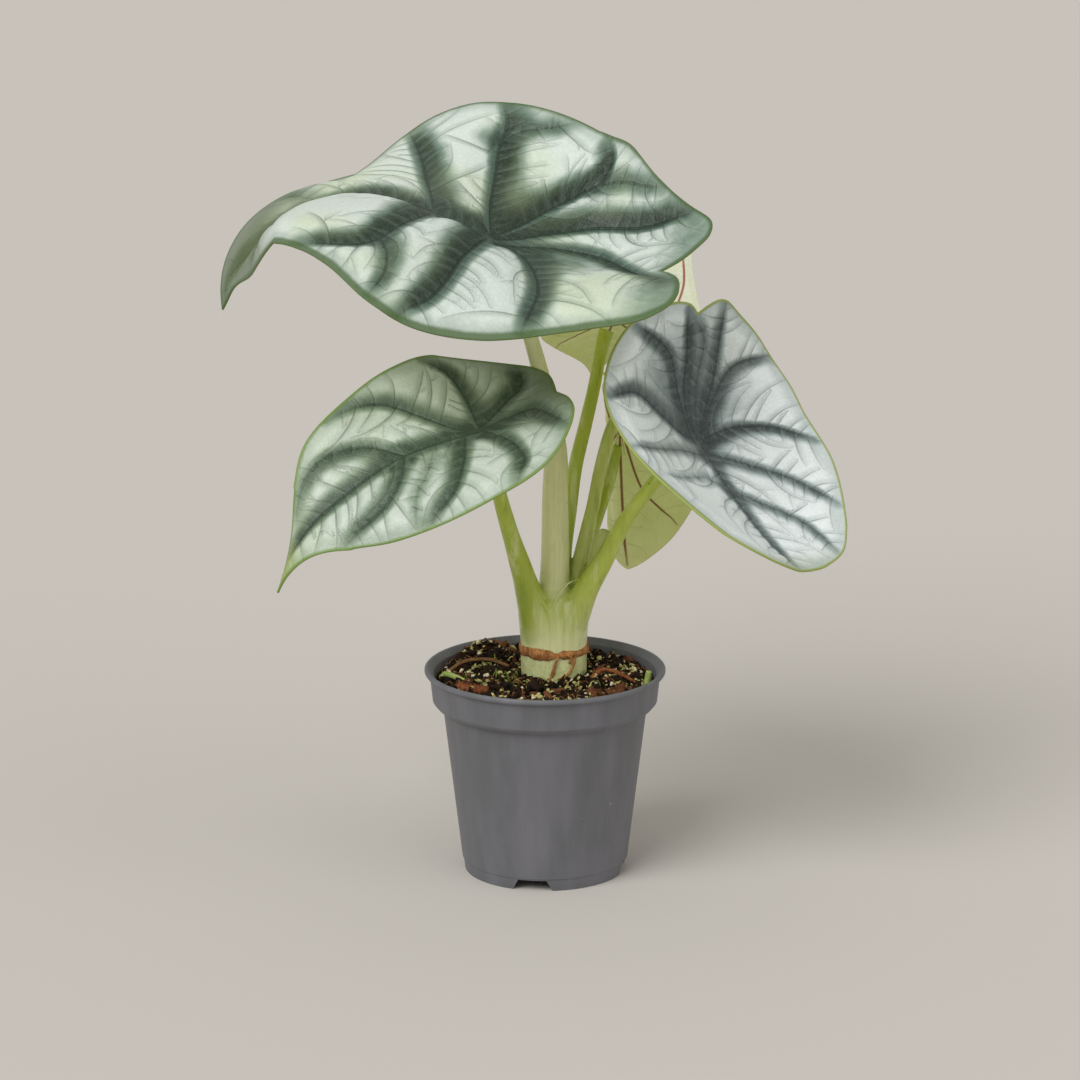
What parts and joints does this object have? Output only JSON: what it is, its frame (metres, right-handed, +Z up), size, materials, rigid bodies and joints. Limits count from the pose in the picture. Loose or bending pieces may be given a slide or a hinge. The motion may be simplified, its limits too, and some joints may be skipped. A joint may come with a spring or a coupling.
{
  "type": "potted silver dragon alocasia",
  "caption": "Young aroid house plant with thick quilted silver-green leaves and dark sunken veins, standing in soil in a small round nursery pot.",
  "frame": {"origin": "on the surface the pot stands on, under the middle of the whole plant's box", "axes": "+Z up, -Y towards the side that the large leaves show, +X to the right from there"},
  "size_m": [0.1548, 0.1008, 0.1859],
  "materials": {
    "pot": "matte grey injection moulded, thin wall",
    "soil": "loose peat mix with bark, perlite and moss",
    "stem": "smooth pale green, faint lengthwise lines",
    "papery_sheath": "dry, brown, torn",
    "silver_leaf": "satin silver-green with dark green vein bands, quilted",
    "back_leaf": "satin silver above, pale green below with brown veins",
    "petiole": "smooth yellow-green, slightly glossy",
    "bark": "rough, fibrous",
    "sprout": "smooth pale green"
  },
  "bodies": {
    "root": {"pot": "pot", "soil": "soil", "stem_base": "stem", "sheath_scar": "papery_sheath", "leaf_a": "silver_leaf", "leaf_b": "silver_leaf", "leaf_c": "silver_leaf", "leaf_d": "back_leaf", "leaf_e": "back_leaf", "leaf_f": "back_leaf", "petiole_a": "petiole", "petiole_b": "petiole", "petiole_c": "petiole", "petiole_d": "petiole", "petiole_e": "petiole", "petiole_f": "petiole", "petiole_stub": "stem", "root_right": "bark", "strip_left": "papery_sheath", "bark_left": "bark", "sprout": "sprout", "stub_right": "sprout"}
  },
  "joints": []
}
